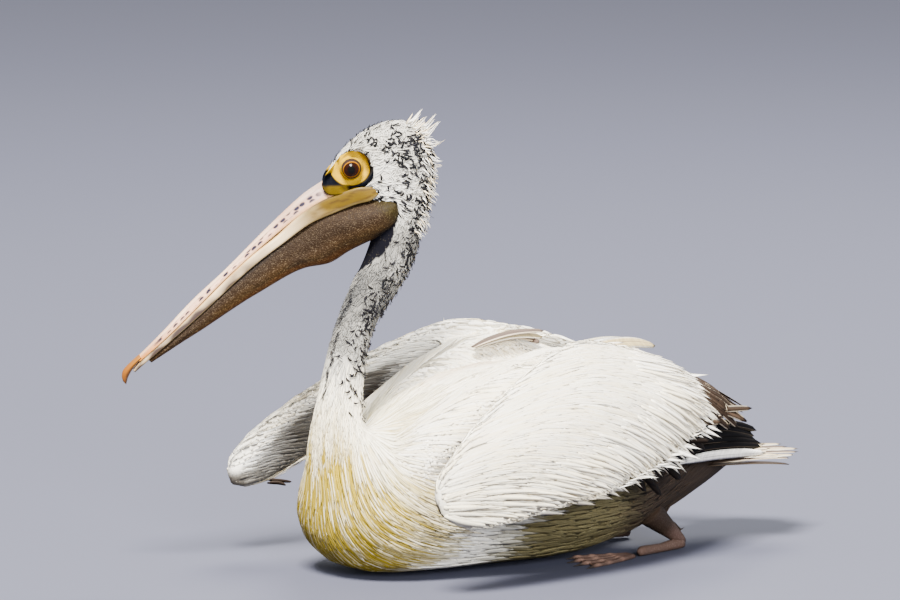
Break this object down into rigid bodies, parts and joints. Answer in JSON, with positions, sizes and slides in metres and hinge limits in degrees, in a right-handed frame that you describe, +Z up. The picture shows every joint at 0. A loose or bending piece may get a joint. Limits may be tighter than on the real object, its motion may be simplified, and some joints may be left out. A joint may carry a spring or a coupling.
{
  "type": "spot-billed pelican",
  "caption": "Life-size spot-billed pelican afloat on its belly, bill lowered, head turned to its right, wings half lifted, feet tucked under.",
  "frame": {"origin": "on the middle of the flat of the belly, where the bird rests on the floor", "axes": "+Z up, +Y towards the tail, so the breast faces -Y, and +X to the bird's left"},
  "size_m": [0.4303, 0.8004, 0.526],
  "materials": {
    "plumage": "matt white contour feathers",
    "breast": "matt feathers stained ochre yellow",
    "neck": "matt pale grey down with black flecks",
    "crest": "matt cream and white tufts",
    "upper_bill": "satin pinkish horn with dark spots",
    "nail": "satin orange horn",
    "jaw": "satin cream horn, yellow at the gape",
    "pouch": "mottled grey-brown bare skin",
    "orbit": "bright yellow bare skin",
    "eye": "wet dark brown eye",
    "flight": "matt blackish flight feathers with pale edges",
    "tail": "matt cream and grey tail feathers",
    "foot": "dark webbed skin"
  },
  "bodies": {
    "root": {"rump": "plumage", "trunk": "plumage", "neck_lower": "plumage", "head": "plumage", "thigh_left": "plumage", "thigh_right": "plumage", "wing_left_hand": "plumage", "wing_left_forearm": "plumage", "wing_left_coverts": "plumage", "wing_left_arm": "plumage", "wing_left_tertials": "plumage", "wing_right_hand": "plumage", "wing_right_forearm": "plumage", "wing_right_coverts": "plumage", "wing_right_arm": "plumage", "wing_right_tertials": "plumage", "breast": "breast", "neck_middle": "neck", "neck_upper": "neck", "crest": "crest", "upper_bill": "upper_bill", "bill_nail": "nail", "jaw_left": "jaw", "jaw_right": "jaw", "pouch": "pouch", "orbit_left": "orbit", "orbit_right": "orbit", "eye_left": "eye", "eye_right": "eye", "wing_left_primaries": "flight", "wing_left_secondaries": "flight", "wing_left_thumb": "flight", "wing_right_primaries": "flight", "wing_right_secondaries": "flight", "wing_right_thumb": "flight", "tail": "tail", "foot_left": "foot", "foot_right": "foot", "shank_left": "foot", "shank_right": "foot"}
  },
  "joints": []
}
